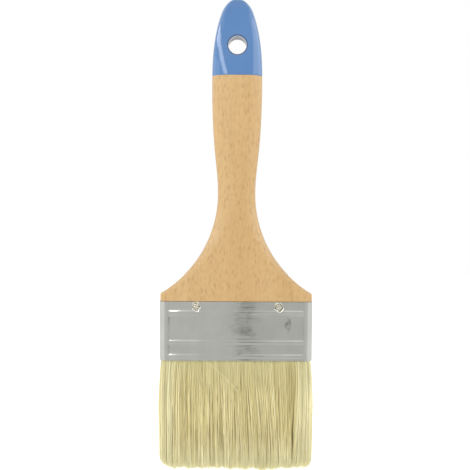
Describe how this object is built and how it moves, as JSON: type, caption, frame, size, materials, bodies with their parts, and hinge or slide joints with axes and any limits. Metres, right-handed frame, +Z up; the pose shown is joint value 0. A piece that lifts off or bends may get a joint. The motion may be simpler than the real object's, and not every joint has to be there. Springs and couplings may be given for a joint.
{
  "type": "flat paint brush",
  "caption": "Flat decorator's paint brush with a waisted wooden handle, a coloured dipped tip with a hanging hole, a beaded metal ferrule and a wide block of pale bristles.",
  "frame": {"origin": "centre of the hanging hole, midway between the handle's two faces", "axes": "+Z up the handle towards its tip, with the bristles pointing to -Z; X across the brush's width; -Y out of the front face"},
  "size_m": [0.0816, 0.017, 0.2475],
  "materials": {
    "beech": "clear satin lacquer",
    "blue_lacquer": "gloss dipped lacquer",
    "tinplate": "bright rolled tinplate",
    "nail_steel": "plated, checkered head",
    "epoxy": "cast resin",
    "spacer_wood": "sawn",
    "bristle": "natural bleached bristle"
  },
  "bodies": {
    "handle_and_ferrule": {"handle": "beech", "dipped_tip": "blue_lacquer", "ferrule": "tinplate", "nail_front_left": "nail_steel", "nail_front_right": "nail_steel", "nail_back_left": "nail_steel", "nail_back_right": "nail_steel", "resin_set": "epoxy", "spacer_front": "spacer_wood", "spacer_back": "spacer_wood", "bristle_root_front": "bristle", "bristle_root_middle": "bristle", "bristle_root_back": "bristle"},
    "tuft": {"bristle_tuft_front": "bristle", "bristle_tuft_middle": "bristle", "bristle_tuft_back": "bristle"}
  },
  "joints": [
    {"name": "bristle_flex", "type": "hinge", "parent": "handle_and_ferrule", "child": "tuft", "pos_m": [0, 0, -0.174], "axis": [1, 0, 0], "range_deg": [-40, 40], "stiffness_Nm_per_rad": 0.6}
  ]
}
